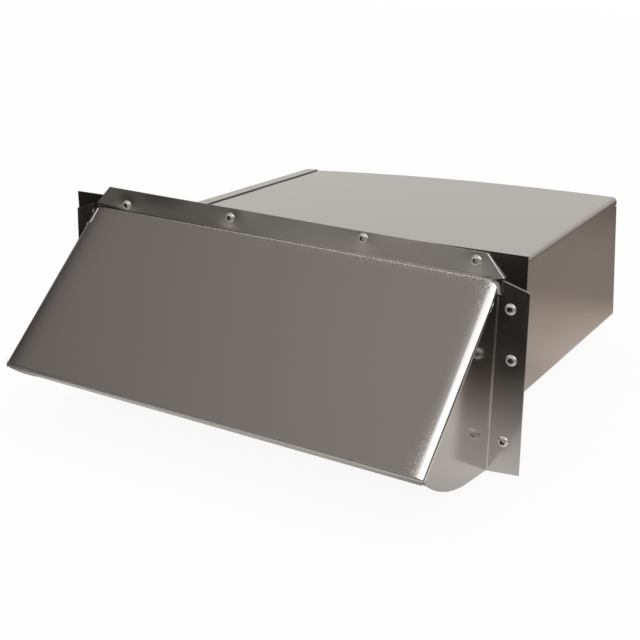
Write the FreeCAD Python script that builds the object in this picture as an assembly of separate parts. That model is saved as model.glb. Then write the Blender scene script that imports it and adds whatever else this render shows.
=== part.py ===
import FreeCAD, Part
import math
import os

# Wall vent cap for a rectangular duct, folded from bright stainless sheet.
# Frame: X across the wall, +Y through the wall along the duct, -Y outdoors, +Z up.
# Origin: centre of the duct's mouth, in the plane where its flange meets the wall.
# All lengths in millimetres, all angles in degrees.

V = FreeCAD.Vector

# Sheet
hood_sheet = 0.7
duct_sheet = 0.7
flap_sheet = 0.5

# Duct: straight past the damper, then twisted so that its far end sags on the left
duct_width = 252.0
duct_height = 86.0
duct_length = 238.0
duct_corner_radius = 3.2
duct_straight_depth = 28.0
duct_left_sag = 6.8
duct_wall_lean = 4.0
duct_top_crown = 2.6
lap_width = 11.6
lap_gap = 0.12
lap_front_relief = 6.0
rear_notch_depth = 2.6
rear_notch_height = 1.0
rear_notch_below_top = 5.2
weld_spot_radius = 2.2
weld_spot_height = 0.25
weld_spot_inset = 6.0
# Spots along the lap, as shares of the duct's length
weld_spot_places = (0.403, 0.630, 0.958)

# Flange folded out of the duct's mouth
flange_side_width = 24.8
flange_below_hood_top = 2.4
flange_bottom_width = 12.5
flange_bend_radius = 1.0

# Hood
hood_turn = 1.6
hood_shift = -0.7
hood_side_margin = 10.7
hood_skew = -1.4
hood_top_shift = 1.2
hood_top_above_duct = 24.0
hood_top_flange_height = 13.9
hood_top_inset = 10.4
hood_top_foot_overhang = 0.3
hood_top_foot_rise = 2.0
slope_angle = 43.0
slope_length = 115.7
slope_bend_radius = 1.5
side_bend_radius = 4.2
side_flange_top_width = 15.6
side_flange_foot_width = 17.8
side_flange_bend_radius = 1.0
side_flange_top_rise = 0.9
side_flange_top_fall = 4.3
side_flange_below_duct = 13.6
side_flange_foot_rise = 1.8
side_straight_length = 24.6
side_curve_rise = 3.4
side_curve_sagitta = 4.1
lip_height = 2.8
lip_fold_gap = 0.4
lip_return = 2.2
lip_bend_radius = 1.2
lip_overhang = 0.1
lip_left_taper = 13.0
lip_right_taper = 2.4

# Blind rivets
rivet_hole_radius = 1.65
rivet_hole_sides = 12
rivet_clearance = 0.03
rivet_head_radius = 3.2
rivet_head_height = 1.15
rivet_recess_radius = 1.25
rivet_recess_depth = 1.0
rivet_tail_radius = 2.3
rivet_tail_length = 4.2
# Top rivets: place across as a share of the hood's half width, and depth below the top edge
top_rivets = ((-0.814, 9.7), (-0.251, 5.9), (0.396, 3.9), (0.889, 4.9))
# Side rivets: distance out from the hood's half width, and height as a share of the duct's half height
side_rivets = ((5.6, 0.907), (8.2, 0.251), (7.2, -0.856))

# Backdraught damper inside the duct's mouth
rod_radius = 1.6
rod_running_clearance = 0.05
rod_depth = 14.0
rod_below_top = 8.0
rod_end_stand_out = 4.0
flap_lean = 8.0
flap_side_clearance = 2.0
flap_floor_clearance = 1.6
flap_hem_width = 6.0
flap_hem_gap = 0.2
curl_open_angle = 60.0
bushing_barrel_radius = 3.2
bushing_fit_clearance = 0.03
bushing_collar_radius = 4.2
bushing_collar_thickness = 1.0
bushing_stand_out = 1.0
nut_radius = 4.8
nut_thickness = 0.4
nut_gap = 0.4
nut_fit_clearance = 0.02
stop_sheet = 0.7
stop_leg_height = 11.0
stop_foot_depth = 12.0
stop_bend_radius = 1.2
stop_end_clearance = 3.0
seal_thickness = 3.0
seal_height = 8.0
seal_flap_gap = 0.3

# Worked out from the sizes above
half_width = duct_width / 2
half_height = duct_height / 2
inner_half_width = half_width - duct_sheet
inner_floor = -half_height + duct_sheet
rod_height = half_height - duct_sheet - rod_below_top
flap_half = inner_half_width - flap_side_clearance
hood_front = -(duct_sheet + hood_sheet)
hood_back = -duct_sheet
hood_half = half_width + hood_side_margin
hood_top_height = half_height + hood_top_above_duct
slope_start_height = hood_top_height - hood_top_flange_height
hood_top_foot_height = slope_start_height + hood_top_foot_rise
side_flange_inner_top = slope_start_height + side_flange_top_rise
side_flange_outer_top = side_flange_inner_top - side_flange_top_fall
side_flange_inner_bottom = -half_height - side_flange_below_duct
side_flange_outer_bottom = side_flange_inner_bottom + side_flange_foot_rise

# Cutting shapes reach this far, past every piece
beyond = 400.0

# Points nearer than this are one point
same_point = 1e-6


def direction(angle):
    """Unit (y, z) pair at an angle from +Y towards +Z."""
    return (math.cos(math.radians(angle)), math.sin(math.radians(angle)))


def moved(point, heading, distance):
    """A (y, z) point moved along a unit heading."""
    return (point[0] + heading[0] * distance, point[1] + heading[1] * distance)


def offset_line_meet(before, corner, after, distance):
    """Where the two legs at a corner meet once both are moved to the left by a distance."""
    a = V(corner[0] - before[0], corner[1] - before[1], 0).normalize()
    b = V(after[0] - corner[0], after[1] - corner[1], 0).normalize()
    bisector = V(-a.y, a.x, 0) + V(-b.y, b.x, 0)
    length = 2 * distance / bisector.dot(bisector)
    return (corner[0] + bisector.x * length, corner[1] + bisector.y * length)


def left_offset(points, distance):
    """An open chain of points moved to its left by a distance, corner by corner."""
    moved_points = []
    for index, point in enumerate(points):
        if 0 < index < len(points) - 1:
            before, after = points[index - 1], points[index + 1]
            moved_points.append(offset_line_meet(before, point, after, distance))
        else:
            start, end = points[:2] if index == 0 else points[-2:]
            run = V(end[0] - start[0], end[1] - start[1], 0).normalize()
            moved_points.append((point[0] - run.y * distance, point[1] + run.x * distance))
    return moved_points


def turns_left(before, corner, after):
    """True where a chain turns left at a corner."""
    first = (corner[0] - before[0], corner[1] - before[1])
    second = (after[0] - corner[0], after[1] - corner[1])
    return first[0] * second[1] - first[1] * second[0] > 0


def rounded_edges(points, radii, place):
    """Lines and tangent arcs along an open chain; place turns a flat point into a vector."""
    edges = []
    start = V(*points[0], 0)
    for index in range(1, len(points) - 1):
        radius = radii[index - 1]
        corner = V(*points[index], 0)
        back = (V(*points[index - 1], 0) - corner).normalize()
        ahead = (V(*points[index + 1], 0) - corner).normalize()
        half_opening = back.getAngle(ahead) / 2
        reach = radius / math.tan(half_opening)
        arc_start = corner + back * reach
        arc_end = corner + ahead * reach
        middle = (back + ahead).normalize()
        arc_middle = corner + middle * (radius / math.sin(half_opening) - radius)
        if start.distanceToPoint(arc_start) > same_point:
            edges.append(Part.LineSegment(place(start), place(arc_start)).toShape())
        edges.append(Part.Arc(place(arc_start), place(arc_middle), place(arc_end)).toShape())
        start = arc_end
    edges.append(Part.LineSegment(place(start), place(V(*points[-1], 0))).toShape())
    return edges


def closed_sheet(near, far):
    """Wire of a sheet's section from the edges along its two sides, closed by its two ends."""
    near_start = near[0].firstVertex(True).Point
    near_end = near[-1].lastVertex(True).Point
    far_start = far[0].firstVertex(True).Point
    far_end = far[-1].lastVertex(True).Point
    end_cap = Part.LineSegment(near_end, far_end).toShape()
    start_cap = Part.LineSegment(far_start, near_start).toShape()
    return Part.Wire(near + [end_cap] + far[::-1] + [start_cap])


def folded_section(points, radii, sheet, place):
    """Closed outline of a folded sheet: the chain, and the same chain one sheet to its left.

    Each radius belongs to the chain's own side of the sheet. The other side's radius is one
    sheet smaller on a left turn and one sheet larger on a right turn.
    """
    far_radii = []
    for index, radius in enumerate(radii):
        left = turns_left(points[index], points[index + 1], points[index + 2])
        far_radii.append(radius - sheet if left else radius + sheet)
    near = rounded_edges(points, radii, place)
    far = rounded_edges(left_offset(points, sheet), far_radii, place)
    return closed_sheet(near, far)


def side_view(x):
    """Places flat points as (y, z) in the upright plane at a given x."""
    def place(point):
        return V(x, point.x, point.y)
    return place


def cross_view(y):
    """Places flat points as (x, z) in the plane parallel to the wall at a given depth."""
    def place(point):
        return V(point.x, y, point.y)
    return place


def prism_across(outline, width):
    """A side-view outline at x = -width / 2, extruded across the width."""
    return Part.Face(outline).extrude(V(width, 0, 0))


def bar_across(corners, width):
    """A bar across the width, from the (y, z) corners of its section."""
    points = [V(-width / 2, y, z) for y, z in corners]
    return prism_across(Part.makePolygon(points + points[:1]), width)


def plate(corners, front, back):
    """A flat plate parallel to the wall, from (x, z) corners."""
    points = [V(x, front, z) for x, z in corners]
    outline = Part.makePolygon(points + points[:1])
    return Part.Face(outline).extrude(V(0, back - front, 0))


def block(low, high):
    """A box between two corners."""
    return Part.makeBox(high[0] - low[0], high[1] - low[1], high[2] - low[2], V(*low))


def rod_along_x(radius, start, end):
    """A round bar on the hinge line."""
    return Part.makeCylinder(radius, end - start, V(start, rod_depth, rod_height), V(1, 0, 0))


def mirrored(shape):
    """The same piece on the other side of the middle plane."""
    return shape.mirror(V(0, 0, 0), V(1, 0, 0))


def fused(pieces):
    """One solid from pieces that touch or overlap."""
    return pieces[0].multiFuse(pieces[1:]).removeSplitter()


# Slope: runs from the foot of the top flange outwards and down
slope_run = direction(180 + slope_angle)
slope_normal = direction(90 + slope_angle)
slope_start = (hood_front, slope_start_height)
slope_end = moved(slope_start, slope_run, slope_length)


def lip_chain(start):
    """Outer side of the slope's lower edge: slope, upright lip, and its fold back inside."""
    fold_depth = 2 * hood_sheet + lip_fold_gap
    lip_foot = (slope_end[0], slope_end[1] - lip_height)
    fold_foot = (slope_end[0] + fold_depth, slope_end[1] - lip_height)
    fold_top = (fold_foot[0], fold_foot[1] + lip_return)
    return [start, slope_end, lip_foot, fold_foot, fold_top]


def lip_radii():
    """Bend radii of the lip: at the slope, then the two halves of the round lower edge."""
    fold_radius = hood_sheet + lip_fold_gap / 2
    return [lip_bend_radius, fold_radius, fold_radius]


def hood_front_panel():
    """Foot of the top flange, the slope and the lip, folded from one strip."""
    width = 2 * (hood_half - side_bend_radius)
    chain = [(hood_front, hood_top_foot_height)] + lip_chain(slope_start)
    radii = [slope_bend_radius] + lip_radii()
    return prism_across(folded_section(chain, radii, hood_sheet, side_view(-width / 2)), width)


def hood_lip():
    """The lip runs past the side bends, with a long taper on the left and a short one right."""
    lip_start = moved(slope_end, slope_run, -lip_bend_radius)
    end = hood_half + lip_overhang
    outline = folded_section(lip_chain(lip_start), lip_radii(), hood_sheet, side_view(-end))
    lip = prism_across(outline, 2 * end)
    low = slope_end[1] - lip_height - hood_sheet
    top = slope_end[1] - hood_sheet
    for side, taper in ((-1, lip_left_taper), (1, lip_right_taper)):
        tip = side * (end + hood_sheet)
        corners = [(tip, low), (side * (end - taper), low), (tip, top)]
        lip = lip.cut(plate(corners, -beyond, hood_back))
    return lip


def hood_side_bend():
    """Round bend between the slope and the right side panel."""
    inward = moved(slope_end, slope_normal, -side_bend_radius)
    centre = V(hood_half - side_bend_radius, *inward)
    length = slope_length + 3 * side_bend_radius
    up_slope = V(0, -slope_run[0], -slope_run[1])
    outer = Part.makeCylinder(side_bend_radius, length, centre, up_slope)
    inner = Part.makeCylinder(side_bend_radius - hood_sheet, length, centre, up_slope)
    across = V(side_bend_radius, 0, 0)
    upwards = V(0, *slope_normal) * side_bend_radius
    corners = [centre, centre + across, centre + across + upwards, centre + upwards, centre]
    quarter = Part.Face(Part.makePolygon(corners)).extrude(up_slope * length)
    behind = block((-beyond, hood_back, -beyond), (beyond, beyond, beyond))
    return outer.cut(inner).common(quarter).cut(behind)


def hood_side_panel():
    """Right side panel: straight along the slope, curved along its open lower edge."""
    rear = hood_front - side_flange_bend_radius
    front_low = moved(slope_end, slope_normal, -side_bend_radius)
    rear_top = moved(slope_start, slope_normal, -side_bend_radius)
    rise = (rear - rear_top[0]) * math.tan(math.radians(slope_angle))
    rear_top = (rear, rear_top[1] + rise)
    rear_low = (rear, side_flange_inner_bottom)
    curve_start = (rear - side_straight_length, side_flange_inner_bottom + side_curve_rise)
    middle = V(curve_start[0] + front_low[0], curve_start[1] + front_low[1], 0) / 2
    chord = V(front_low[0] - curve_start[0], front_low[1] - curve_start[1], 0).normalize()
    bulge = middle + V(-chord.y, chord.x, 0) * side_curve_sagitta
    corners = (front_low, rear_top, rear_low, curve_start)
    place = side_view(hood_half - hood_sheet)
    points = [place(V(*corner, 0)) for corner in corners]
    edges = []
    for first, second in zip(points, points[1:]):
        edges.append(Part.LineSegment(first, second).toShape())
    edges.append(Part.Arc(points[-1], place(bulge), points[0]).toShape())
    return Part.Face(Part.Wire(edges)).extrude(V(hood_sheet, 0, 0))


def above_slope():
    """Everything above the slope's underside, to trim what meets the slope from below."""
    start = moved(slope_start, slope_normal, -hood_sheet)
    low = [moved(start, slope_run, -beyond), moved(start, slope_run, beyond)]
    high = [moved(corner, slope_normal, beyond) for corner in low[::-1]]
    return bar_across(low + high, 2 * beyond)


def hood_side_flange(widening):
    """Right flange against the wall, with the bend that joins it to the side panel."""
    radius = side_flange_bend_radius
    foot = hood_half + radius
    inset = hood_half - hood_sheet
    bend_top = slope_start_height - side_bend_radius / math.cos(math.radians(slope_angle))
    flat = plate([
        (foot, side_flange_inner_bottom),
        (hood_half + side_flange_foot_width + widening, side_flange_outer_bottom),
        (hood_half + side_flange_top_width + widening, side_flange_outer_top),
        (hood_half + hood_sheet, side_flange_inner_top),
        (inset, side_flange_inner_top - hood_sheet),
        (inset, bend_top),
        (foot, bend_top),
    ], hood_front, hood_back)
    height = side_flange_inner_top - 2 * hood_sheet - side_flange_inner_bottom
    centre = V(foot, hood_front - radius, side_flange_inner_bottom)
    bend = Part.makeCylinder(radius + hood_sheet, height, centre)
    bend = bend.cut(Part.makeCylinder(radius, height, centre))
    corner = block((inset, hood_front - radius, -beyond), (foot, hood_back, beyond))
    return flat.fuse(bend.common(corner).cut(above_slope()))


def hood_top_flange():
    """Top flange against the wall, its ends cut back to clear the side flanges."""
    foot = hood_half + hood_top_foot_overhang
    top = hood_half - hood_top_inset
    inner = hood_half - side_bend_radius
    corners = [
        (-inner + hood_skew, slope_start_height + hood_sheet),
        (inner + hood_skew, slope_start_height + hood_sheet),
        (foot + hood_top_shift, hood_top_foot_height),
        (top + hood_top_shift, hood_top_height),
        (-top + hood_top_shift, hood_top_height),
        (-foot + hood_top_shift, hood_top_foot_height),
    ]
    return plate(corners, hood_front, hood_back)


def rivet_places():
    """Every rivet's name and its (x, z) place, before the hood is turned."""
    places = []
    for number, (share, drop) in enumerate(top_rivets, start=1):
        places.append((f"rivet_top_{number}", (share * hood_half, hood_top_height - drop)))
    for number, (outwards, share) in enumerate(side_rivets, start=1):
        up = share * half_height
        places.append((f"rivet_left_{number}", (-hood_half - outwards, up)))
        places.append((f"rivet_right_{number}", (hood_half + outwards, up)))
    return places


def turned(shape):
    """The hood and its rivets sit turned and a little to the left on the duct's flange."""
    shape.translate(V(hood_shift, 0, 0))
    shape.rotate(V(0, 0, 0), V(0, 1, 0), hood_turn)
    return shape


def rivet_bar(radius, start, end):
    """A bar along a rivet's axis. It is hidden, so a few flat sides stand for its round."""
    corners = []
    for side in range(rivet_hole_sides + 1):
        angle = 2 * math.pi * side / rivet_hole_sides
        corners.append(V(radius * math.cos(angle), start, radius * math.sin(angle)))
    return Part.Face(Part.makePolygon(corners)).extrude(V(0, end - start, 0))


def rivet_holes():
    """Bars that cut the rivet holes through both flanges."""
    bars = []
    for name, (across, up) in rivet_places():
        bar = rivet_bar(rivet_hole_radius, 2 * hood_front, -hood_front)
        bar.translate(V(across, 0, up))
        bars.append(turned(bar))
    return Part.makeCompound(bars)


def hood():
    """The whole hood, one folded sheet.

    The slope and its side panels were folded a little off the middle of the flanges and lip.
    """
    side = [hood_side_bend(), hood_side_panel()]
    right = side + [hood_side_flange(-hood_skew)]
    left = [mirrored(piece) for piece in side + [hood_side_flange(hood_skew)]]
    skewed = [hood_front_panel()] + right + left
    for piece in skewed:
        piece.translate(V(hood_skew, 0, 0))
    return turned(fused([hood_lip(), hood_top_flange()] + skewed)).cut(rivet_holes())


def sag_share(depth):
    """How much of the duct's twist has built up at a depth, from 0 to 1."""
    twisted_length = duct_length - duct_straight_depth
    return max(0.0, (depth - duct_straight_depth) / twisted_length)


def twisted(x, z, depth):
    """Where the twist takes a point of the duct's square section."""
    share = sag_share(depth)
    fall = share * duct_left_sag * (half_width - x) / duct_width
    shift = share * duct_wall_lean * z / duct_height
    return (x - shift, z - fall)


def duct_section(depth, crown):
    """Section of the duct at one depth: a lapped ring whose top may be crowned.

    The chain runs from the lap's free edge, down the left wall, along the floor, up the right
    wall and back over the top to the end that lies under the lap.
    """
    lap_height = half_height + duct_sheet + lap_gap
    under = duct_corner_radius + lap_gap
    share = (lap_width - under) / (duct_width - under)
    rise_at_lap = 4 * crown * share * (1 - share)
    outer = [
        (-half_width + lap_width, lap_height + rise_at_lap),
        (-half_width, lap_height),
        (-half_width, -half_height),
        (half_width, -half_height),
        (half_width, half_height),
        (-half_width + under, half_height),
    ]
    outer = [twisted(x, z, depth) for x, z in outer]
    place = cross_view(depth)
    near = rounded_edges(outer, [duct_corner_radius] * 4, place)
    inner_radii = [duct_corner_radius - duct_sheet] * 4
    far = rounded_edges(left_offset(outer, duct_sheet), inner_radii, place)
    if crown:
        near[-1] = crowned(near[-1], crown)
        far[-1] = crowned(far[-1], crown)
    return closed_sheet(near, far)


def crowned(edge, crown):
    """A straight edge of the duct's top, bowed upwards by the crown at its middle."""
    first, last = edge.firstVertex(True).Point, edge.lastVertex(True).Point
    middle = (first + last) * 0.5 + V(0, 0, crown)
    return Part.Arc(first, middle, last).toShape()


def duct_flange():
    """Flange frame round the mouth and the bends that join it to the four walls."""
    radius = flange_bend_radius
    outer_radius = radius + duct_sheet
    outer_x = half_width + flange_side_width
    top = hood_top_height - flange_below_hood_top
    bottom = -half_height - flange_bottom_width
    frame = block((-outer_x, -duct_sheet, bottom), (outer_x, 0, top))
    opening = block((-half_width - radius, -beyond, -half_height - radius),
                    (half_width + radius, beyond, half_height + radius))
    pieces = [frame.cut(opening)]
    x_axis, z_axis = V(1, 0, 0), V(0, 0, 1)
    walls = ((x_axis, z_axis, half_width, duct_height), (z_axis, x_axis, half_height, duct_width))
    for outwards, run, wall, full_length in walls:
        length = full_length - 2 * duct_corner_radius
        for side in (-1, 1):
            centre = outwards * side * (wall + radius) + V(0, radius, 0) - run * length / 2
            bend = Part.makeCylinder(outer_radius, length, centre, run)
            bend = bend.cut(Part.makeCylinder(radius, length, centre, run))
            low = centre - V(0, outer_radius, 0)
            if side > 0:
                low = low - outwards * outer_radius
            high = low + (outwards + V(0, 1, 0)) * outer_radius + run * length
            pieces.append(bend.common(block(tuple(low), tuple(high))))
    return pieces


def weld_spots():
    """Spots that hold the lap down on the duct's top."""
    height = 1.5 * duct_sheet + lap_gap + weld_spot_height
    spots = []
    for share in weld_spot_places:
        depth = share * duct_length
        start = half_height - duct_sheet / 2
        x, z = twisted(-half_width + weld_spot_inset, start, depth)
        spots.append(Part.makeCylinder(weld_spot_radius, height, V(x, depth, z)))
    return spots


def duct():
    """The duct with its flange, one folded sheet with a lapped seam at its top left."""
    sections = [
        duct_section(flange_bend_radius, 0),
        duct_section(duct_straight_depth, 0),
        duct_section(duct_length, duct_top_crown),
    ]
    walls = Part.makeLoft(sections, True, True)
    relief = block((-beyond, -beyond, half_height + lap_gap / 2),
                   (-half_width + lap_width + duct_sheet, lap_front_relief, beyond))
    notch_top = half_height - rear_notch_below_top
    notch = block((0, duct_length - rear_notch_depth, notch_top - rear_notch_height),
                  (beyond, beyond, notch_top))
    body = fused([walls.cut(relief).cut(notch)] + duct_flange() + weld_spots())
    bushing_hole = rod_along_x(bushing_barrel_radius + bushing_fit_clearance, -beyond, beyond)
    return body.cut(rivet_holes()).cut(bushing_hole)


def rivet(place):
    """Set blind rivet: raised head with the broken stem's recess, shank and blind bulb."""
    across, up = place
    head_top = hood_front - rivet_head_height
    recess_floor = head_top + rivet_recess_depth
    outline = [
        (0, recess_floor),
        (rivet_recess_radius, recess_floor),
        (rivet_recess_radius, head_top),
        (rivet_head_radius, hood_front),
        (0, hood_front),
    ]
    points = [V(radius, depth, 0) for radius, depth in outline]
    section = Part.Face(Part.makePolygon(points + points[:1]))
    head = section.revolve(V(0, 0, 0), V(0, 1, 0), 360)
    shank = rivet_bar(rivet_hole_radius - rivet_clearance, hood_front, 0)
    tail = rivet_bar(rivet_tail_radius, 0, rivet_tail_length)
    body = fused([head, shank, tail])
    body.translate(V(across, 0, up))
    return turned(body)


def flap_length():
    """From the hinge line to the flap's lower edge."""
    drop = rod_height - inner_floor - flap_floor_clearance
    return drop / math.cos(math.radians(flap_lean))


def flap_place(point):
    """Places a flap section drawn hanging straight down at the hinge, leaning outwards."""
    lean = math.radians(flap_lean)
    y = point.x * math.cos(lean) + point.y * math.sin(lean)
    z = -point.x * math.sin(lean) + point.y * math.cos(lean)
    return V(-flap_half, rod_depth + y, rod_height + z)


def curl_arc(radius):
    """One side of the curl round the rod, from the leaf over the top to the curl's open end."""
    end = math.radians(180 + curl_open_angle)
    points = []
    for angle in (0, end / 2, end):
        points.append(flap_place(V(-radius * math.cos(angle), radius * math.sin(angle), 0)))
    return Part.Arc(*points).toShape()


def damper_flap():
    """Flap with its top curled round the rod and its lower edge folded back for stiffness."""
    inner = rod_radius + rod_running_clearance
    length = flap_length()
    fold = 2 * flap_sheet + flap_hem_gap
    leaf = [(-inner, 0), (-inner, -length), (-inner - fold, -length),
            (-inner - fold, -length + flap_hem_width)]
    near = rounded_edges(leaf, [fold / 2] * 2, flap_place)
    outer_leaf = left_offset(leaf, -flap_sheet)
    far = rounded_edges(outer_leaf, [fold / 2 - flap_sheet] * 2, flap_place)
    curl_in = curl_arc(inner)
    curl_out = curl_arc(inner + flap_sheet)
    curl_end = Part.LineSegment(curl_in.lastVertex(True).Point,
                                curl_out.lastVertex(True).Point).toShape()
    leaf_end = Part.LineSegment(near[-1].lastVertex(True).Point,
                                far[-1].lastVertex(True).Point).toShape()
    edges = [curl_end, curl_in, curl_out, leaf_end] + near + far
    outline = Part.Wire(Part.__sortEdges__(edges))
    return prism_across(outline, 2 * flap_half)


def hinge_rod():
    """Rod through both bushings, ending outside the duct's walls."""
    end = half_width + bushing_stand_out + rod_end_stand_out
    return rod_along_x(rod_radius, -end, end)


def bushing():
    """Right bushing: a collar inside the wall and a barrel through it."""
    collar = rod_along_x(bushing_collar_radius, inner_half_width - bushing_collar_thickness,
                         inner_half_width)
    barrel = rod_along_x(bushing_barrel_radius, inner_half_width,
                         half_width + bushing_stand_out)
    bore = rod_along_x(rod_radius + rod_running_clearance, 0, beyond)
    return collar.fuse(barrel).removeSplitter().cut(bore)


def push_nut():
    """Right push-on nut that keeps the rod in place, just clear of the bushing."""
    start = half_width + bushing_stand_out + nut_gap
    disc = rod_along_x(nut_radius, start, start + nut_thickness)
    bore = rod_along_x(rod_radius + nut_fit_clearance, 0, beyond)
    return disc.cut(bore)


def stop_line():
    """Foot of the stop's leg on the duct's floor, behind the seal and the closed flap."""
    lean = math.radians(flap_lean)
    behind_flap = seal_flap_gap + seal_thickness - rod_radius - rod_running_clearance
    drop = rod_height - inner_floor
    return rod_depth - drop * math.tan(lean) + behind_flap / math.cos(lean)


def stop_width():
    """Length of the stop and its seal across the duct's floor."""
    return 2 * (inner_half_width - stop_end_clearance)


def damper_stop():
    """Angle strip on the duct's floor: its leg leans with the flap and carries the seal."""
    foot = (stop_line(), inner_floor)
    top = moved(foot, direction(90 - flap_lean), stop_leg_height)
    heel = (foot[0] + stop_foot_depth, inner_floor)
    place = side_view(-stop_width() / 2)
    outline = folded_section([top, foot, heel], [stop_bend_radius], stop_sheet, place)
    return prism_across(outline, stop_width())


def damper_seal():
    """Foam strip stuck to the front of the stop's leg."""
    up_leg = direction(90 - flap_lean)
    outwards = direction(180 - flap_lean)
    top = moved((stop_line(), inner_floor), up_leg, stop_leg_height)
    low = moved(top, up_leg, -seal_height)
    front_low = moved(low, outwards, seal_thickness)
    front_top = moved(top, outwards, seal_thickness)
    return bar_across([top, low, front_low, front_top], stop_width())


def all_pieces():
    """Every separate piece by its name."""
    pieces = {
        "hood": hood(),
        "duct": duct(),
        "damper_flap": damper_flap(),
        "hinge_rod": hinge_rod(),
        "bushing_right": bushing(),
        "bushing_left": mirrored(bushing()),
        "push_nut_right": push_nut(),
        "push_nut_left": mirrored(push_nut()),
        "damper_stop": damper_stop(),
        "damper_seal": damper_seal(),
    }
    for name, place in rivet_places():
        pieces[name] = rivet(place)
    return pieces


os.makedirs("parts", exist_ok=True)
for name, shape in all_pieces().items():
    box = shape.BoundBox
    print(name, "solids", len(shape.Solids), "valid", shape.isValid(),
          "volume", round(shape.Volume, 1),
          "x", round(box.XMin, 1), round(box.XMax, 1),
          "y", round(box.YMin, 1), round(box.YMax, 1),
          "z", round(box.ZMin, 1), round(box.ZMax, 1))
    shape.exportStep(f"parts/{name}.step")
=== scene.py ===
import math

import bpy
import numpy as np
from mathutils import Matrix, Vector


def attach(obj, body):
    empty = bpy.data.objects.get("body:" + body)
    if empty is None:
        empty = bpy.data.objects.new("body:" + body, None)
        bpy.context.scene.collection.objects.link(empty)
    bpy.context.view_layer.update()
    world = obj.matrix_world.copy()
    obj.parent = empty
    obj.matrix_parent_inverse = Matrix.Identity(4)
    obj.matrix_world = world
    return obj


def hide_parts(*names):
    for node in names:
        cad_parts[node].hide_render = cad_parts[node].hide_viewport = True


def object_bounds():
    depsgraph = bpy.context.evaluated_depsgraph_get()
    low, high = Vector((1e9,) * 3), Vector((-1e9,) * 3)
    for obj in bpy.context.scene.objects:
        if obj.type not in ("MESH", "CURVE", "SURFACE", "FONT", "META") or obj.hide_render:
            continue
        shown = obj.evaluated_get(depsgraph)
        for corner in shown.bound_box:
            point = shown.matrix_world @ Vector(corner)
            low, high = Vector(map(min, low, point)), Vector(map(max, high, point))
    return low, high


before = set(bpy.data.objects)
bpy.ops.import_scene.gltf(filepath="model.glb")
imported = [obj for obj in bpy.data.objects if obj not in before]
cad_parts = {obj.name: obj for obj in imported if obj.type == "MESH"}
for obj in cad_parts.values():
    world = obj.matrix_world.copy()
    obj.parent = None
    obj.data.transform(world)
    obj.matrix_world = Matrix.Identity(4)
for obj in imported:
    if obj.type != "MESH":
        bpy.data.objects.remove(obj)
cad_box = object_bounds()

# Hood
# One sheet of bright annealed stainless, 0.7 mm, folded on a press brake: top flange, slope,
# round side bends, side panels with their flanges, and a lip folded back inside. It is riveted
# to the duct's flange, turned 1.6 degrees on the wall and 0.7 mm to the left.

# Lengths are in mm, on a hood that hangs straight; on_wall turns it and changes to metres.
MM = 0.001
SHEET = 0.7
CHAMFER = 0.28
HOOD_TURN = math.radians(1.6)
HOOD_SHIFT = -0.7
# Front face of the flanges, half the width over the side panels, and how far the slope and the
# panels stand off the middle of the flanges.
HOOD_FRONT = -1.4
HOOD_HALF = 136.7
HOOD_SKEW = -1.4
# Outer radius of the side bends, and half the width that they leave to the slope.
SIDE_BEND = 4.2
SLOPE_HALF = HOOD_HALF - SIDE_BEND

# Top flange: its upper edge, where its valley bend begins, and the places across of its left
# and right edge at three heights.
HOOD_TOP = 67
FLANGE_FOOT = 53.75
FLANGE_CORNERS_Z = (53.8, 55.1, HOOD_TOP)
FLANGE_LEFT = (-SLOPE_HALF + HOOD_SKEW, -135.8, -125.1)
FLANGE_RIGHT = (SLOPE_HALF + HOOD_SKEW, 138.2, 127.5)

# Slope: it starts at the valley's corner and ends at the lip's, SLOPE_LENGTH further down.
VALLEY_Z = 53.1
VALLEY_RADIUS = 1.5
SLOPE = math.radians(43)
SLOPE_LENGTH = 115.7
SLOPE_START = np.array([HOOD_FRONT, VALLEY_Z])
DOWN_SLOPE = np.array([-math.cos(SLOPE), -math.sin(SLOPE)])
OUT_OF_SLOPE = np.array([-math.sin(SLOPE), math.cos(SLOPE)])
# The valley and the lip both turn the sheet by 47 degrees; their arcs start this share of the
# radius away from the corner.
SETBACK = math.tan(math.radians(23.5))
# Distances of the slope's rows from the valley's corner, closer together beside the bends.
SLOPE_ROWS = np.concatenate([[VALLEY_RADIUS * SETBACK, 1.1, 1.8, 3], np.linspace(5, 112, 52),
                             [114.0, 114.6]])

# Height at which the right side bend is scuffed least; the scuffs, whose grains are whitened as
# painted glints, grow towards both its ends.
CLEAN_Z = 16

# Side panels: how far down the slope the bend's lower edge begins, how far in front of the wall
# the panel does, the height of its foot there, and the (y, z) up to which the panel's lower edge
# is straight.
SIDE_BEND_TOP = 5.284
PANEL_FRONT = 2.4
PANEL_FOOT = -56.58
BOW_START = (-27, -53.2)

# Side flanges: the radius of their bend, how far out their flat begins, and the heights of their
# upper and lower corners at the panel and at the outer edge, with the outer edge's half widths.
SIDE_FLANGE_BEND = 1.0
SIDE_FLANGE_START = 1.3
INNER_CORNERS_Z = (54, -56.6)
OUTER_CORNERS_Z = (49.7, -54.78)
OUTER_CORNERS_X = (152.28, 154.48)

# Lip: it leans back LIP_LEAN for each mm of height, and its ends are cut back towards its foot
# by the two tapers, from LIP_REACH but never past LIP_HALF. The columns are the ones that it has
# beyond the slope's own, under the side bends.
LIP_BEND = 0.9
LIP_HEIGHT = 2.8
LIP_LEAN = 0.18
LIP_HALF = 136.8
LIP_REACH = 137.5
LIP_TAPER_LEFT = 13.7
LIP_TAPER_RIGHT = 3.1
LIP_LEFT_COLUMNS = (-138.0, -137.5, -136.8)
LIP_RIGHT_COLUMNS = (134.5, 136.3, 136.8)

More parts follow.
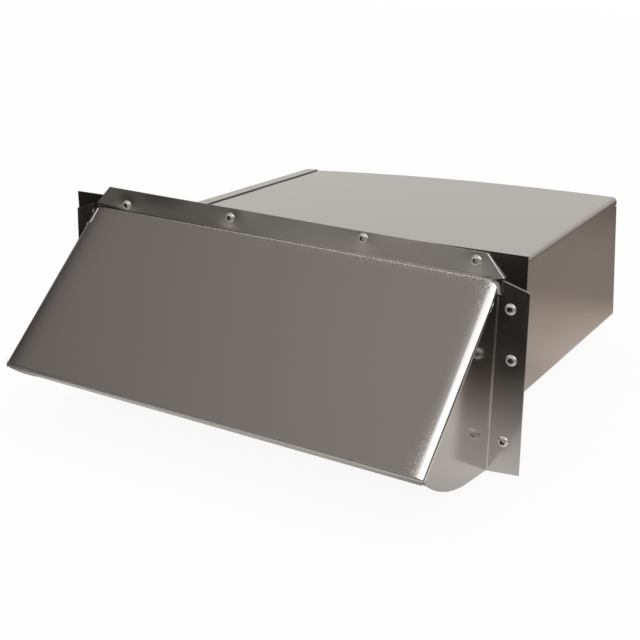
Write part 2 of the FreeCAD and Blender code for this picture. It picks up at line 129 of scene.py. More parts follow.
# Rivets of the top flange: place across as a share of the half width, and depth below the top
# edge. Rivets of the side flanges: distance outwards from the half width, and height.
TOP_RIVETS = ((-0.814, 9.7), (-0.251, 5.9), (0.396, 3.9), (0.889, 4.9))
SIDE_RIVETS = ((5.6, 39.0), (8.2, 10.8), (7.2, -36.8))
RIVETS = {f"rivet_top_{n}": (share * HOOD_HALF, HOOD_TOP - drop)
          for n, (share, drop) in enumerate(TOP_RIVETS, start=1)}
for number, (outwards, up) in enumerate(SIDE_RIVETS, start=1):
    RIVETS[f"rivet_left_{number}"] = (-HOOD_HALF - outwards, up)
    RIVETS[f"rivet_right_{number}"] = (HOOD_HALF + outwards, up)


def linear(hex_colour):
    """sRGB hex value turned to linear RGBA."""
    parts = np.array([int(hex_colour[i:i + 2], 16) for i in (1, 3, 5)]) / 255
    parts = np.where(parts <= 0.04045, parts / 12.92, ((parts + 0.055) / 1.055) ** 2.4)
    return (*parts.tolist(), 1.0)


def add(tree, kind, settings=None, **links):
    """Adds a node; settings are its own values, links go to sockets by name or number."""
    node = tree.nodes.new(kind)
    for name, value in (settings or {}).items():
        setattr(node, name, value)
    for name, value in links.items():
        numbered = name[1:].isdigit()
        socket = node.inputs[int(name[1:]) if numbered else name.replace("_", " ")]
        if isinstance(value, bpy.types.NodeSocket):
            tree.links.new(value, socket)
        else:
            socket.default_value = value
    return node


def on_wall(points):
    """Hood points in mm put in the frame in metres: shifted left, then turned about Y."""
    x, y, z = np.moveaxis(np.asarray(points, float), -1, 0)
    x = x + HOOD_SHIFT
    across = x * math.cos(HOOD_TURN) + z * math.sin(HOOD_TURN)
    up = z * math.cos(HOOD_TURN) - x * math.sin(HOOD_TURN)
    return np.stack((across, y, up), -1) * MM


def arc(centre, radius, first, last, steps):
    """Points round a centre, at even angles from first to last in degrees."""
    angle = np.radians(np.linspace(first, last, steps + 1))
    return np.stack([centre[0] + radius * np.cos(angle), centre[1] + radius * np.sin(angle)], -1)


def grid(*parts):
    """Three coordinates broadcast to one grid of points."""
    return np.stack(np.broadcast_arrays(*parts), -1)


def patch(points, outward, worked=0.0, sprung=0.0, burnished=0.0):
    """A grid of outer-side points, its quads wound so that the first row faces outward.

    Quad (i, j) joins the four neighbouring grid points; the normal of the middle quad of the
    first row is compared with the wished direction, and all quads are reversed if it is against.
    """
    rows, columns = points.shape[:2]
    first = np.arange(rows - 1)[:, None] * columns + np.arange(columns - 1)
    quads = np.stack([first, first + columns, first + columns + 1, first + 1], -1).reshape(-1, 4)
    middle = columns // 2
    along = points[1, middle] - points[0, middle]
    across = points[0, middle + 1] - points[0, middle]
    if np.dot(np.cross(along, across), outward) < 0:
        quads = quads[:, ::-1]
    masks = [np.broadcast_to(mask, points.shape[:2]).reshape(-1)
             for mask in (worked, sprung, burnished)]
    return points.reshape(-1, 3), quads, masks


def thick_sheet(name, patches, material):
    """Patches joined where their edges meet and thickened inwards to one folded sheet.

    The cut edges get a narrow chamfer, as the shears leave them.
    """
    offset = 0
    faces = []
    for points, quads, _ in patches:
        faces.append(quads + offset)
        offset += len(points)
    mesh = bpy.data.meshes.new(name)
    points = on_wall(np.concatenate([part[0] for part in patches]))
    mesh.from_pydata(points.tolist(), [], np.concatenate(faces).tolist())
    for index, mask in enumerate(("worked", "sprung", "burnished")):
        values = np.concatenate([masks[index] for _, _, masks in patches])
        mesh.attributes.new(mask, "FLOAT", "POINT").data.foreach_set("value", values)
    mesh.polygons.foreach_set("use_smooth", [True] * len(mesh.polygons))
    mesh.materials.append(material)
    piece = bpy.data.objects.new(name, mesh)
    bpy.context.scene.collection.objects.link(piece)
    weld = piece.modifiers.new("seams", "WELD")
    weld.merge_threshold = 0.002 * MM
    thick = piece.modifiers.new("sheet", "SOLIDIFY")
    thick.thickness = SHEET * MM
    thick.offset = -1
    thick.use_even_offset = True
    soft = piece.modifiers.new("cut_edges", "BEVEL")
    soft.limit_method = "ANGLE"
    soft.angle_limit = math.radians(50)
    soft.width = CHAMFER * MM
    soft.segments = 1
    soft.use_clamp_overlap = False
    split = piece.modifiers.new("split", "EDGE_SPLIT")
    split.split_angle = math.radians(38)
    return piece


def dimple(x, z):
    """How far the set rivets pull the flange in around them, in mm.

    Each rivet adds a bell curve of 0.16 mm that fades over about 5 mm.
    """
    depth = 0
    for rivet_x, rivet_z in RIVETS.values():
        depth = depth + 0.16 * np.exp(-((x - rivet_x) ** 2 + (z - rivet_z) ** 2) / 30)
    return depth


def ripple(along, *waves):
    """Sum of sine waves in mm: each has its height, its length over 2 pi and its phase."""
    return sum(height * np.sin(along / length + phase) for height, length, phase in waves)


def stand_off(z):
    """How far the top flange leans out from the wall towards its foot, in mm.

    It grows evenly down the flange, 0.065 mm each mm, and dies out over the first centimetre of
    the slope.
    """
    lean = 0.065 * (HOOD_TOP - np.maximum(z, FLANGE_FOOT))
    return lean * np.exp(np.minimum(z - FLANGE_FOOT, 0) / 4)


# By side, left -1 and right 1: how much a panel stands out for each mm in front of the wall,
# and the height, in steps of SPRUNG_STEP, and reach in mm of the sheet's spring-back beside the
# side bend.
SPLAY = {-1: 0.026, 1: 0.007}
SPRUNG = {-1: (2.2, 5.0), 1: (0.75, 2.5)}
SPRUNG_STEP = 0.4 * MM


def splay(side, y):
    """How far a side panel stands out sideways, growing evenly with the distance in front."""
    return side * SPLAY[side] * np.maximum(-y - PANEL_FRONT, 0)


def sprung_back(side, distance):
    """Height that tilts the sheet beside a side bend, where it sprang back, towards the side.

    It grows towards the bend as a fading exponential and goes on growing round it (distance
    below 0), so that the tilt is greatest at the bend's start and dies out both ways.
    """
    level, reach = SPRUNG[side]
    return level * np.where(distance > 0, np.exp(-np.maximum(distance, 0) / reach),
                            2 - np.exp(np.minimum(distance, 0) / reach))


def scuffed(distance, reach):
    """1 at a bend, fading over the few millimetres that the press brake scuffed."""
    return np.exp(-(np.maximum(distance, 0) / reach) ** 1.5)


def hood_front(columns):
    """Top flange, valley bend and slope as one strip, rows down and columns across.

    A row is a point (y, z) of the section: down the flange, round the valley's arc, then down
    the slope. Its columns, shares from -1 to 1, are laid between the row's own left and right
    end. The flange leans and waves outwards and is drawn in at the rivets; the slope is dented
    by 0.05 mm times two sine waves, one along each way, that die out at its edges.
    """
    flange = np.concatenate([[HOOD_TOP, 66.5], np.linspace(65.6, 55.6, 12), [55.1, 54.7, 54.0]])
    centre = (HOOD_FRONT - VALLEY_RADIUS, VALLEY_Z + VALLEY_RADIUS * SETBACK)
    section = np.concatenate([grid(HOOD_FRONT, flange), arc(centre, VALLEY_RADIUS, 0, -47, 8),
                              SLOPE_START + np.outer(SLOPE_ROWS[1:], DOWN_SLOPE)])
    y, z = section[:, :1], section[:, 1:]

    right = np.interp(z, FLANGE_CORNERS_Z, FLANGE_RIGHT) + splay(1, y)
    left = np.interp(z, FLANGE_CORNERS_Z, FLANGE_LEFT) + splay(-1, y)
    x = left + (right - left) * (columns + 1) / 2

    on_flange = np.clip((z - 54) / 3, 0, 1)
    free_edge = np.clip((z - 57) / 10, 0, 1) ** 2
    wave = free_edge * (0.10 + ripple(x, (0.07, 19, 0), (0.03, 7.3, 1)))
    y = y + on_flange * dimple(x, z) - wave - stand_off(z)
    canned = np.sin(np.clip((53 - z) / 77.5, 0, 1) * math.pi) * (1 - np.abs(columns) ** 6)
    dent = 0.05 * canned * ripple(x, (1, 31, 0.7)) * ripple(z, (1, 17, 0.4))
    y, z = y + dent * OUT_OF_SLOPE[0], z + dent * OUT_OF_SLOPE[1]

    from_valley = np.hypot(y - SLOPE_START[0], z - SLOPE_START[1])
    from_left, from_right = x - left + 40 * on_flange, right - x + 40 * on_flange
    # Scuff mask: dull grains whose colour is also whitened as painted glints.
    near_ends = np.clip(np.abs(z - CLEAN_Z) / 26 - 0.45, 0.03, 1)
    right_half = np.clip((x + 110) / 190, 0.08, 1)
    worked = scuffed(from_valley, 3.0) * right_half + scuffed(from_right, 5.2) * near_ends
    worked = worked * (1 - np.clip((z - 53.4) / 0.8, 0, 1))
    sprung = sprung_back(-1, np.maximum(from_left, 0)) + sprung_back(1, np.maximum(from_right, 0))
    # Painted highlight: the colour whitens along the side bends, fully on the right, less on the
    # left.
    burnished = scuffed(from_right, 2.2) + 0.3 * scuffed(from_left, 1.0)
    return patch(grid(x, y, z), (0, -1, 0.2), worked, sprung, burnished)


def hood_lip(columns):
    """Lip below the slope, folded back inside, its ends tapered: long left, short right.

    The section runs round the lip's bend, down its face, round the hem's half circle and up
    inside. Its face leans back 0.18 mm each mm. Each row's columns are drawn in at both ends by
    a share that grows evenly with the depth below the slope's edge.
    """
    end = SLOPE_START + DOWN_SLOPE * SLOPE_LENGTH
    reach = LIP_BEND * SETBACK
    foot = end[1] - LIP_HEIGHT
    inside = end[0] + 2 * LIP_BEND
    section = np.concatenate([
        [SLOPE_START + DOWN_SLOPE * SLOPE_ROWS[-1]],
        arc((end[0] + LIP_BEND, end[1] - reach), LIP_BEND, 133, 180, 6),
        [[end[0], end[1] - 0.8]],
        arc((end[0] + LIP_BEND, foot + LIP_BEND), LIP_BEND, 180, 360, 12),
        [[inside, foot + 1.2], [inside, foot + 2.2]]])
    y, z = section[:, :1], section[:, 1:]
    y = y + LIP_LEAN * np.maximum(end[1] - reach - z, 0)

    taper = np.clip((end[1] - SHEET - z) / LIP_HEIGHT, 0, 1)
    right = np.minimum(LIP_HALF, LIP_REACH - LIP_TAPER_RIGHT * taper) / LIP_HALF
    left = np.minimum(LIP_HALF, LIP_REACH - LIP_TAPER_LEFT * taper) / LIP_HALF
    first = -SLOPE_HALF + HOOD_SKEW + splay(-1, end[0])
    width = 2 * SLOPE_HALF + splay(1, end[0]) - splay(-1, end[0])
    inner = first + (columns + 1) / 2 * width
    x = np.concatenate([LIP_LEFT_COLUMNS, inner, LIP_RIGHT_COLUMNS])
    x = x * np.where(x > 0, right, left)
    return patch(grid(x, y, z), (0, -1, 0.2), 0.1)


def side_rows(sine):
    """Distances down the slope of the rows round the side bend, at the sine of its angle.

    The bend's upper end is cut back to leave room for the bend of the side flange.
    """
    first, last = SLOPE_ROWS[0], SLOPE_ROWS[-1]
    top = first + (SIDE_BEND_TOP - first) * (1 - sine)
    return top + (SLOPE_ROWS[:, None] - first) * (last - top) / (last - first)


def hood_side(side):
    """Round bend, side panel, flange bend and flange of one side; side is -1 or 1.

    The bend is a quarter circle carried down the slope. The panel hangs from the bend's edge to
    a lower edge that is straight near the wall and then bows, in shares of the way down. The
    flange's bend is a quarter circle carried down the panel's rear edge, and the flange runs
    from it to a slanted outer edge, waved there by up to 0.3 mm and drawn in at the rivets.
    """
    half = HOOD_HALF + side * HOOD_SKEW
    angle = np.radians(np.linspace(90, 0, 13))
    down = side_rows(np.sin(angle))
    lift = SIDE_BEND * (np.sin(angle) - 1)
    x = half - SIDE_BEND + SIDE_BEND * np.cos(angle)
    lean = stand_off(VALLEY_Z + SLOPE_ROWS[:, None] * DOWN_SLOPE[1]) * np.sin(angle)
    y = HOOD_FRONT + down * DOWN_SLOPE[0] + lift * OUT_OF_SLOPE[0] - lean
    z = VALLEY_Z + down * DOWN_SLOPE[1] + lift * OUT_OF_SLOPE[1]
    sprung = sprung_back(side, -SIDE_BEND * (math.pi / 2 - angle))
    # Painted highlight: the bend's colour is whitened, fully on the right and 0.3 as much on the
    # left.
    burnished = 1.0 if side > 0 else 0.3
    patches = [patch(grid(side * x + splay(side, y), y, z), (side, -0.7, 0.7), 0, sprung,
                     burnished)]
    sprung = sprung[-1]

    edge_y, edge_z = y[:, -1:], z[:, -1:]
    bow_y, bow_z = BOW_START
    part = np.linspace(0, 1, 60)
    low_y = bow_y + (edge_y[-1, 0] - bow_y) * part - 6.5 * part * (1 - part)
    low_z = bow_z + (edge_z[-1, 0] - 1.0 - bow_z) * part - 15 * part * (1 - part)
    low_z = np.interp(-edge_y, np.append(PANEL_FRONT, -low_y), np.append(PANEL_FOOT, low_z))
    share = np.concatenate([[0, 0.003, 0.01, 0.03], np.linspace(0.05, 0.97, 56), [0.99, 1]])
    z = edge_z + (low_z - edge_z) * share
    x = side * half + splay(side, edge_y) + 0 * z
    patches.append(patch(grid(x, edge_y, z), (side, 0, 0), 0, sprung))

    rear = z[0][:, None]
    centre = (half + SIDE_FLANGE_BEND, HOOD_FRONT - SIDE_FLANGE_BEND)
    bend = np.concatenate([arc(centre, SIDE_FLANGE_BEND, 180, 90, 8),
                           [[half + SIDE_FLANGE_START, HOOD_FRONT]]])
    patches.append(patch(grid(side * bend[:, 0], bend[:, 1], rear), (side, -1, 0), 0, sprung))

    inner_top, inner_foot = INNER_CORNERS_Z
    outer_top, outer_foot = OUTER_CORNERS_Z
    inner_z = np.concatenate([np.linspace(inner_top, rear[0, 0], 6)[:-1], rear[:, 0]])[:, None]
    inner_x = np.full_like(inner_z, half + SIDE_FLANGE_START)
    stretch = (outer_top - outer_foot) / (inner_top - inner_foot)
    outer_z = outer_foot + (inner_z - inner_foot) * stretch
    outer_x = np.interp(outer_z, OUTER_CORNERS_Z[::-1], OUTER_CORNERS_X[::-1])
    share = np.concatenate([[0, 0.03], np.linspace(0.08, 0.92, 14), [0.97, 1]])
    x = inner_x + (outer_x - inner_x) * share
    z = inner_z + (outer_z - inner_z) * share
    wave = share ** 2 * (0.15 + ripple(z, (0.1, 14, side), (0.05, 5.1, 0)))
    y = HOOD_FRONT - wave + dimple(side * x, z) * np.clip(share * 8, 0, 1)
    patches.append(patch(grid(side * x, y, z), (0, -1, 0), 0, sprung))
    return patches


# Height of the orange peel where the sheet was stretched most over a bend, in metres.
PEEL_DEPTH = 0.15 * MM


def steel(name, colour, rough):
    """Bright metal sheet: one colour, its gloss a little uneven, with dust and a faint peel.

    The roughness drifts by 0.06 in clouds of 30 mm. The dust is dull specks 0.7 mm across, one
    in each cell of 33 mm. The peel is a grain of 0.7 mm, a fiftieth as high as at a bend.
    """
    material = bpy.data.materials.new(name)
    material.use_nodes = True
    tree = material.node_tree
    shader = tree.nodes["Principled BSDF"]
    shader.inputs["Metallic"].default_value = 1
    shader.inputs["Base Color"].default_value = linear(colour)
    place = add(tree, "ShaderNodeTexCoord").outputs["Object"]
    cloud = add(tree, "ShaderNodeTexNoise", Vector=place, Scale=35.0, Detail=4.0)
    spread = add(tree, "ShaderNodeMath", {"operation": "MULTIPLY_ADD"},
                 i0=cloud.outputs["Fac"], i1=0.06, i2=rough - 0.03)
    dust = add(tree, "ShaderNodeTexVoronoi", Vector=place, Scale=30.0)
    dots = add(tree, "ShaderNodeMapRange", Value=dust.outputs["Distance"], i1=0.014, i2=0.008,
               i3=0.0, i4=0.5)
    marks = add(tree, "ShaderNodeMath", {"operation": "ADD"}, i0=spread.outputs[0],
                i1=dots.outputs[0])
    tree.links.new(marks.outputs[0], shader.inputs["Roughness"])
    peel = add(tree, "ShaderNodeTexNoise", Vector=place, Scale=1500.0, Detail=3.0,
               Roughness=0.7)
    skin = add(tree, "ShaderNodeBump", Strength=1.0, Distance=PEEL_DEPTH / 50,
               Height=peel.outputs["Fac"])
    tree.links.new(skin.outputs[0], shader.inputs["Normal"])
    return material


def worked_steel(name, colour, rough):
    """The same sheet where it was folded, from the piece's own three attributes.

    The scuff mask turns the peel up fifty times and adds dull grains 1 mm across, drawn
    coarser than the real scuffs of 0.1 mm so that they show, and whitens their colour as
    painted glints; the highlight mask whitens the colour along the bends, a painted highlight;
    sprung is a height that tilts the sheet beside its side bends.
    """
    material = steel(name, colour, rough)
    tree = material.node_tree
    shader = tree.nodes["Principled BSDF"]
    place = add(tree, "ShaderNodeTexCoord").outputs["Object"]
    worked = add(tree, "ShaderNodeAttribute", {"attribute_name": "worked"}).outputs["Fac"]
    grain = add(tree, "ShaderNodeTexNoise", Vector=place, Scale=1000.0, Detail=2.0)
    speck = add(tree, "ShaderNodeMapRange", Value=grain.outputs["Fac"], i1=0.52, i2=0.59,
                i3=0.0, i4=1.0)
    # Scuff grains: duller, and further down whitened in colour as painted glints.
    matt = add(tree, "ShaderNodeMath", {"operation": "MULTIPLY"}, i0=worked,
               i1=speck.outputs[0])
    marks = shader.inputs["Roughness"].links[0].from_socket
    dull = add(tree, "ShaderNodeMath", {"operation": "MULTIPLY_ADD"}, i0=matt.outputs[0],
               i1=0.45, i2=marks)
    tree.links.new(dull.outputs[0], shader.inputs["Roughness"])

    # Painted highlight and glints: the colour is mixed towards near white by both masks.
    rubbed = add(tree, "ShaderNodeAttribute", {"attribute_name": "burnished"}).outputs["Fac"]
    bare = add(tree, "ShaderNodeMath", {"operation": "ADD", "use_clamp": True}, i0=rubbed,
               i1=matt.outputs[0])
    shade = add(tree, "ShaderNodeMix", {"data_type": "RGBA"}, i0=bare.outputs[0],
                i6=linear(colour), i7=linear("#fdfdfc"))
    tree.links.new(shade.outputs[2], shader.inputs["Base Color"])

    sprung = add(tree, "ShaderNodeAttribute", {"attribute_name": "sprung"}).outputs["Fac"]
    spring = add(tree, "ShaderNodeBump", {"invert": True}, Strength=1.0, Distance=SPRUNG_STEP,
                 Height=sprung)
    skin = shader.inputs["Normal"].links[0].from_node
    peel = skin.inputs["Height"].links[0].from_socket
    depth = add(tree, "ShaderNodeMath", {"operation": "MULTIPLY_ADD"}, i0=worked, i1=0.98,
                i2=0.02)
    rough_skin = add(tree, "ShaderNodeMath", {"operation": "MULTIPLY"}, i0=peel,
                     i1=depth.outputs[0])
    skin.inputs["Distance"].default_value = PEEL_DEPTH
    tree.links.new(rough_skin.outputs[0], skin.inputs["Height"])
    tree.links.new(spring.outputs[0], skin.inputs["Normal"])
    return material


# Bright annealed stainless sheet, cold rolled between polished rolls and annealed without
# scale: a grey, slightly blurred mirror that shows the room as soft tones, speckled along the
# valley and the side bends, where the tools scuffed it. Its colour is painted near white
# along the side bends, most on the right, as a painted highlight, and on the scuff grains as
# painted glints.
bright_steel = worked_steel("bright_stainless_sheet", "#d1cfcc", 0.16)
near_bend = 1 - np.arange(0, 10, 0.35) / SLOPE_HALF
middle_columns = np.linspace(-0.92, 0.92, 111)
hood_columns = np.concatenate([-near_bend, middle_columns, near_bend[::-1]])
hood_sheet = thick_sheet("hood_sheet", [hood_front(hood_columns), hood_lip(hood_columns)]
                         + hood_side(1) + hood_side(-1), bright_steel)
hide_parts("hood")
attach(hood_sheet, "cap")

# Rivets
# Ten set blind rivets of bright aluminium: a domed head whose recess shows the broken end of
# the steel stem, the shank, and the bulb that the stem pulled up behind the sheets.

# Rivet heads of cold headed aluminium, bright but under a thin matt oxide skin, which keeps
# them paler than the steel round them from every side.
rivet_metal = steel("rivet_aluminium", "#eeeeec", 0.14)
rivet_metal.node_tree.nodes["Principled BSDF"].inputs["Metallic"].default_value = 0.72
# Broken stem and recess: the stem's steel wire, snapped off, made near black, and the head's
# aluminium recess walls given the same near black: painted shade in the recess.
stem_steel = steel("broken_stem_painted_recess_shade", "#1c1a19", 0.30)

# Half section in mm from the front pole to the rear pole: distance from the axis, and place
# along Y from the wall's plane. The first seven rings of faces are the stem's end and the
# head's recess, which with the front pole's fan take the near black of painted shade.
RIVET_SECTION = np.array([
    (0, -1.25), (0.4, -1.23), (0.75, -1.16), (1.0, -1.12), (1.28, -1.17), (1.42, -1.35),
    (1.47, -1.95), (1.50, -2.33), (1.56, -2.46), (1.66, -2.53), (1.8, -2.55), (2.0, -2.49),
    (2.3, -2.38), (2.65, -2.16), (2.92, -1.9), (3.1, -1.66), (3.19, -1.48), (3.2, -1.42),
    (3.14, -1.36), (2.6, -1.3), (1.66, -1.3), (1.66, -0.02), (2.0, 0.03), (2.24, 0.3),
    (2.3, 1.2), (2.28, 2.4), (2.1, 3.4), (1.75, 3.95), (1.3, 4.16), (1.12, 4.18), (1.05, 4.05),
    (1.0, 3.85), (0, 3.8)])
RECESS_RINGS = 7
# How far a set rivet is drawn in, and the furthest that its bulb may reach.
SEATED = 0.06
RIVET_REAR = 4.2


def rivet_set(name, place, steps=48):
    """Closed piece: the half section's points turned round the rivet's axis, along Y.

    Ring k has the section's radius k at even angles; the first and last points are poles.
    """
    angle = np.arange(steps) * 2 * math.pi / steps
    radius, depth = RIVET_SECTION[1:-1, :1], RIVET_SECTION[1:-1, 1:]
    rings = grid(radius * np.cos(angle), depth, radius * np.sin(angle))
    poles = [[0, RIVET_SECTION[0, 1], 0], [0, RIVET_SECTION[-1, 1], 0]]
    points = np.concatenate([rings.reshape(-1, 3), poles])
    out = stand_off(place[1]) if "top" in name else 0
    points = points + (place[0], SEATED - out, place[1])
    points[:, 1] = np.minimum(points[:, 1], RIVET_REAR)

    here, after = np.arange(steps), (np.arange(steps) + 1) % steps
    ring = np.arange(len(rings) - 1)[:, None] * steps
    quads = np.stack([ring + here, ring + after, ring + steps + after, ring + steps + here], -1)
    pole = len(points) - 2
    last = (len(rings) - 1) * steps
    front = np.stack([after, here, np.full(steps, pole)], -1)
    back = np.stack([last + here, last + after, np.full(steps, pole + 1)], -1)
    mesh = bpy.data.meshes.new(name)
    mesh.from_pydata(on_wall(points).tolist(), [],
                     quads.reshape(-1, 4).tolist() + front.tolist() + back.tolist())
    mesh.polygons.foreach_set("use_smooth", [True] * len(mesh.polygons))
    mesh.materials.append(rivet_metal)
    mesh.materials.append(stem_steel)
    # Painted shade: the stem's end and the head's recess walls take the near black material.
    in_recess = np.zeros(len(mesh.polygons), int)
    in_recess[:RECESS_RINGS * steps] = 1
    in_recess[-2 * steps:-steps] = 1
    mesh.polygons.foreach_set("material_index", in_recess)
    piece = bpy.data.objects.new(name, mesh)
    bpy.context.scene.collection.objects.link(piece)
    return piece


for name, place in RIVETS.items():
    set_rivet = rivet_set(name + "_set", place)
    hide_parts(name)
    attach(set_rivet, "cap")

# Duct
# Rectangular duct folded from the same kind of bright sheet, with a lapped, spot-welded seam
# along its top left and a flange folded out round its mouth, which the hood is riveted to.


def finish(name, material):
    """Gives a CAD node its material and smooth shading that breaks at edges past 40 degrees."""
    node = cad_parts[name]
    node.data.materials.clear()
    node.data.materials.append(material)
    node.data.polygons.foreach_set("use_smooth", [True] * len(node.data.polygons))
    weld = node.modifiers.new("weld", "WELD")
    weld.merge_threshold = 0.01 * MM
    split = node.modifiers.new("split", "EDGE_SPLIT")
    split.split_angle = math.radians(40)
    node.modifiers.new("weighted", "WEIGHTED_NORMAL")


# Bright annealed stainless sheet with nothing folded near its wide faces: a clearer mirror
# than the hood, in which the walls show smooth gradients.
duct_steel = steel("duct_stainless_sheet", "#d1cfcc", 0.11)
finish("duct", duct_steel)

# Damper flap and stop
# The flap is 0.5 mm stainless sheet with a curl round its rod and a folded lower edge, and
# falls shut by its weight on an angle strip spot-welded to the duct's floor.


def drawn(name, colour, rough, line_scale, line_depth):
    """Steel rolled or drawn along X: fine lines along that way, a little duller across them.

    The lines are noise stretched 60 times along X; they change roughness and height.
    """
    material = bpy.data.materials.new(name)
    material.use_nodes = True
    tree = material.node_tree
    shader = tree.nodes["Principled BSDF"]
    shader.inputs["Metallic"].default_value = 1
    shader.inputs["Base Color"].default_value = linear(colour)
    place = add(tree, "ShaderNodeTexCoord").outputs["Object"]
    along = add(tree, "ShaderNodeMapping", Vector=place, Scale=(1 / 60, 1, 1))
    lines = add(tree, "ShaderNodeTexNoise", Vector=along.outputs[0], Scale=line_scale,
                Detail=4.0, Roughness=0.6)
    spread = add(tree, "ShaderNodeMath", {"operation": "MULTIPLY_ADD"},
                 i0=lines.outputs["Fac"], i1=0.16, i2=rough - 0.08)
    tree.links.new(spread.outputs[0], shader.inputs["Roughness"])
    bump = add(tree, "ShaderNodeBump", Strength=1.0, Distance=line_depth,
               Height=lines.outputs["Fac"])
    tree.links.new(bump.outputs[0], shader.inputs["Normal"])
    return material


# Mill finish stainless sheet, cold rolled and pickled but not bright annealed: a satin grey
# with rolling lines 0.4 mm apart, 4 thousandths of a mm deep, that blur what it mirrors.
flap_steel = drawn("mill_finish_sheet", "#c9c8c5", 0.30, 2500, 0.004 * MM)
finish("damper_flap", flap_steel)
finish("damper_stop", flap_steel)

# Rod and push-on nuts
# The flap's hinge rod of drawn steel, 3.2 mm thick, stands out of both side walls and is held
# there by two push-on spring nuts.

# Bright drawn steel: grey, with die lines 0.2 mm apart along the rod, 6 thousandths of a mm
# deep, that spread its highlights.
rod_steel = drawn("drawn_steel_rod", "#b9b9b8", 0.24, 5000, 0.006 * MM)
for name in ("hinge_rod", "push_nut_left", "push_nut_right"):
    finish(name, rod_steel)

# Bushings
# Two collared bushings of natural nylon, moulded, snapped into the side walls, in which the
# rod turns.


def moulded(name, colour, rough, cell_scale, cell_depth):
    """Moulded nylon or closed-cell foam: not metal, with small cells as height and shade.

    The cells are Voronoi cells, raised in their middles and a fifth darker at their edges.
    """
    material = bpy.data.materials.new(name)
    material.use_nodes = True
    tree = material.node_tree
    shader = tree.nodes["Principled BSDF"]
    place = add(tree, "ShaderNodeTexCoord").outputs["Object"]
    cells = add(tree, "ShaderNodeTexVoronoi", Vector=place, Scale=cell_scale)
    tone = add(tree, "ShaderNodeMapRange", Value=cells.outputs["Distance"], i1=0.0, i2=0.8,
               i3=1.06, i4=0.82)
    shade = add(tree, "ShaderNodeVectorMath", {"operation": "SCALE"},
                i0=linear(colour)[:3], Scale=tone.outputs[0])
    tree.links.new(shade.outputs[0], shader.inputs["Base Color"])
    shader.inputs["Roughness"].default_value = rough
    bump = add(tree, "ShaderNodeBump", {"invert": True}, Strength=1.0, Distance=cell_depth,
               Height=cells.outputs["Distance"])
    tree.links.new(bump.outputs[0], shader.inputs["Normal"])
    return material


# Natural nylon, moulded in a spark-eroded mould: off-white and half matt, with a grain of
# 0.7 mm, drawn coarser than the real 0.1 mm so that it shows.
nylon = moulded("natural_nylon", "#dedace", 0.42, 1400, 0.008 * MM)
finish("bushing_left", nylon)
finish("bushing_right", nylon)

# Seal
# A strip of closed-cell foam tape, stuck to the stop's face for the flap to rest on.

# Closed-cell foam in its own skin: near black and quite matt, pebbled by cells of 0.9 mm.
foam = moulded("closed_cell_foam", "#2b2b2d", 0.85, 1100, 0.12 * MM)
finish("damper_seal", foam)

# Floor
# Pale board under the object: white to the camera with the object's shadow kept, and lit in
# patches to the shiny metal alone, which mirrors them as the photograph shows.

FLOOR_HEIGHT = cad_box[0][2] - 0.2 * MM
FLOOR_HALF = 3.0
# Each pool of light: its centre (x, y), the distances from it where it is full and where it
# ends, all in metres, its strength and its colour.
POOLS = [
    ((0.17, 0.01), 0.03, 0.15, 0.42, "#fffefb"),
    ((0.22, 0.33), 0.12, 0.60, 0.27, "#ffeadd"),
    ((0.95, 1.95), 0.90, 1.55, 0.24, "#ffeadd"),
    ((0.15, 0.24), 0.03, 0.12, 0.14, "#ffeadd"),
    ((-0.10, 0.15), 0.16, 0.32, 0.40, "#fffaf4"),
    ((-0.20, -0.64), 0.17, 0.28, 0.235, "#fff8f0"),
    ((-0.40, -1.60), 0.60, 0.95, 0.35, "#fff8f0"),
    ((-1.40, -1.50), 1.00, 1.35, 0.12, "#fff4ea"),
    ((-0.13, -0.125), 0.0, 0.10, 0.47, "#fffaf4"),
    ((-0.03, -0.125), 0.0, 0.10, 0.47, "#fffaf4"),
    ((0.07, -0.125), 0.0, 0.10, 0.47, "#fffaf4"),
    ((0.0, 0.0), 0.1, 4.0, 0.015, "#fff6ee"),
]


def light_sum(tree, place, operation, patches):
    """Sum of soft patches of light, each smooth between where it ends and where it is full.

    The operation measures a place against the patch's centre: DISTANCE, or DOT_PRODUCT for the
    cosine between two directions.
    """
    total = None
    for centre, full, none, strength, colour in patches:
        measure = add(tree, "ShaderNodeVectorMath", {"operation": operation}, i0=place,
                      i1=tuple(centre)).outputs["Value"]
        share = add(tree, "ShaderNodeMapRange", {"interpolation_type": "SMOOTHSTEP"},
                    Value=measure, i1=none, i2=full, i3=0.0, i4=strength).outputs[0]
        light = add(tree, "ShaderNodeVectorMath", {"operation": "SCALE"},
                    i0=linear(colour)[:3], Scale=share).outputs[0]
        total = light if total is None else add(
            tree, "ShaderNodeVectorMath", {"operation": "ADD"}, i0=total, i1=light).outputs[0]
    return total


# Pale lacquered board: matt and nearly white. It glows white to the camera, so that it meets
# the white background without an edge, and 7 percent of it stays matt for the shadow.
pale_floor = bpy.data.materials.new("pale_floor")
pale_floor.use_nodes = True
tree = pale_floor.node_tree
tree.nodes.clear()
output = add(tree, "ShaderNodeOutputMaterial")
path = add(tree, "ShaderNodeLightPath")
matt = add(tree, "ShaderNodeBsdfDiffuse", Color=linear("#f4f3f1"))
white = add(tree, "ShaderNodeEmission", Color=(1, 1, 1, 1), Strength=1.0)
seen = add(tree, "ShaderNodeMixShader", Fac=0.93, i1=matt.outputs[0], i2=white.outputs[0])
place = add(tree, "ShaderNodeTexCoord").outputs["Object"]
pools = [((*centre, FLOOR_HEIGHT), *rest) for centre, *rest in POOLS]
lit = add(tree, "ShaderNodeEmission", Color=light_sum(tree, place, "DISTANCE", pools),
          Strength=1.0)
glossy = add(tree, "ShaderNodeMixShader", Fac=path.outputs["Is Glossy Ray"],
             i1=matt.outputs[0], i2=lit.outputs[0])
final = add(tree, "ShaderNodeMixShader", Fac=path.outputs["Is Camera Ray"],
            i1=glossy.outputs[0], i2=seen.outputs[0])
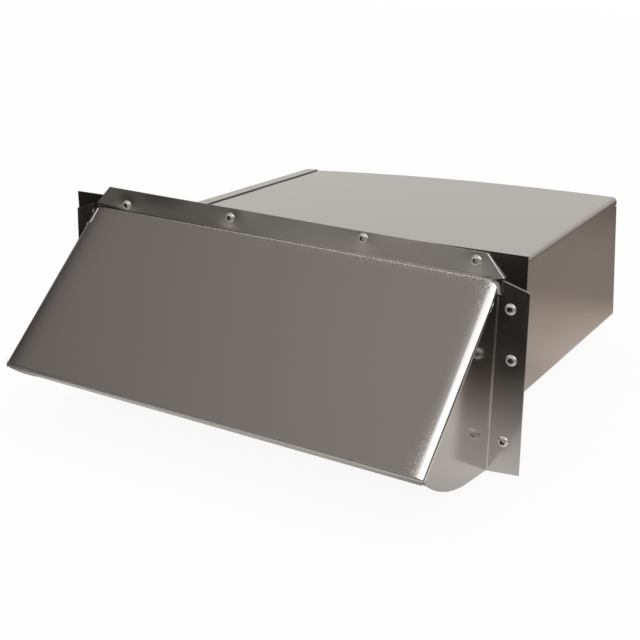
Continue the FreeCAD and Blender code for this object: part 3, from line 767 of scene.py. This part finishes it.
tree.links.new(final.outputs[0], output.inputs["Surface"])

mesh = bpy.data.meshes.new("floor")
corners = [(-FLOOR_HALF, -FLOOR_HALF), (FLOOR_HALF, -FLOOR_HALF),
           (FLOOR_HALF, FLOOR_HALF), (-FLOOR_HALF, FLOOR_HALF)]
mesh.from_pydata([(x, y, FLOOR_HEIGHT) for x, y in corners], [], [(0, 1, 2, 3)])
mesh.materials.append(pale_floor)
floor = bpy.data.objects.new("floor", mesh)
bpy.context.scene.collection.objects.link(floor)

# Room
# Plain white all round for the camera and for matt surfaces. The shiny metal alone sees the
# room that the photograph shows in it: soft lamps right, left and above, and dim walls.

# Each lamp or bright wall: its direction, the cosines of the angle from it where it is full
# and where it ends, its strength and its colour. The first is the dim light from every side.
LAMPS = [
    ((0, 0, 1), -1.0, -2.0, 0.05, "#fff5ee"),
    ((0.27, -0.20, 0.94), 0.95, 0.15, 0.285, "#fff5ef"),
    ((-0.35, 0.85, 0.35), 0.98, 0.50, 0.58, "#fffcf7"),
    ((0.45, 0.85, 0.06), 0.99, 0.93, 0.13, "#ffeadd"),
    ((0.88, 0.12, 0.46), 0.96, 0.88, 1.15, "#ffffff"),
    ((0.42, -0.27, 0.87), 0.99, 0.88, 0.60, "#fffdfa"),
    ((-0.3, -0.9, 0.3), 0.97, 0.75, 0.16, "#f4fbf2"),
    ((-0.34, -0.93, 0.15), 0.985, 0.955, 1.2, "#fffaf2"),
    ((0.62, -0.47, 0.61), 0.99, 0.955, 1.0, "#ffffff"),
]

world = bpy.data.worlds.new("studio")
bpy.context.scene.world = world
world.use_nodes = True
tree = world.node_tree
tree.nodes.clear()
output = add(tree, "ShaderNodeOutputWorld")
direction = add(tree, "ShaderNodeTexCoord").outputs["Generated"]
lamps = [(Vector(towards).normalized(), *rest) for towards, *rest in LAMPS]
shiny = add(tree, "ShaderNodeBackground",
            Color=light_sum(tree, direction, "DOT_PRODUCT", lamps), Strength=1.0)
plain = add(tree, "ShaderNodeBackground", Color=(1, 1, 1, 1), Strength=1.0)
path = add(tree, "ShaderNodeLightPath")
final = add(tree, "ShaderNodeMixShader", Fac=path.outputs["Is Glossy Ray"],
            i1=plain.outputs[0], i2=shiny.outputs[0])
tree.links.new(final.outputs[0], output.inputs["Surface"])
bpy.context.scene.view_settings.view_transform = "Standard"

# Camera
# The photograph's view, fitted to 30 points of the object: its place in metres, its angle
# round the object, above the horizon and its roll, and its focal length in the photo's pixels.

CAMERA_PLACE = Vector((0.35508, -0.55331, 0.23379))
AZIMUTH, ELEVATION, ROLL = (math.radians(angle) for angle in (30.709, 19.281, -0.323))
FOCAL_PIXELS = 1182.54
PHOTO_PIXELS = 640
SENSOR = 36

back = Vector((math.sin(AZIMUTH) * math.cos(ELEVATION),
               -math.cos(AZIMUTH) * math.cos(ELEVATION), math.sin(ELEVATION)))
level = (-back).cross(Vector((0, 0, 1))).normalized()
up = back.cross(level)
right = level * math.cos(ROLL) + up * math.sin(ROLL)
top = up * math.cos(ROLL) - level * math.sin(ROLL)
lens = bpy.data.cameras.new("camera")
lens.sensor_width = SENSOR
lens.lens = FOCAL_PIXELS / PHOTO_PIXELS * SENSOR
lens.clip_end = 20
camera = bpy.data.objects.new("camera", lens)
bpy.context.scene.collection.objects.link(camera)
turn = Matrix((right, top, back)).transposed()
camera.matrix_world = Matrix.Translation(CAMERA_PLACE) @ turn.to_4x4()
bpy.context.scene.camera = camera
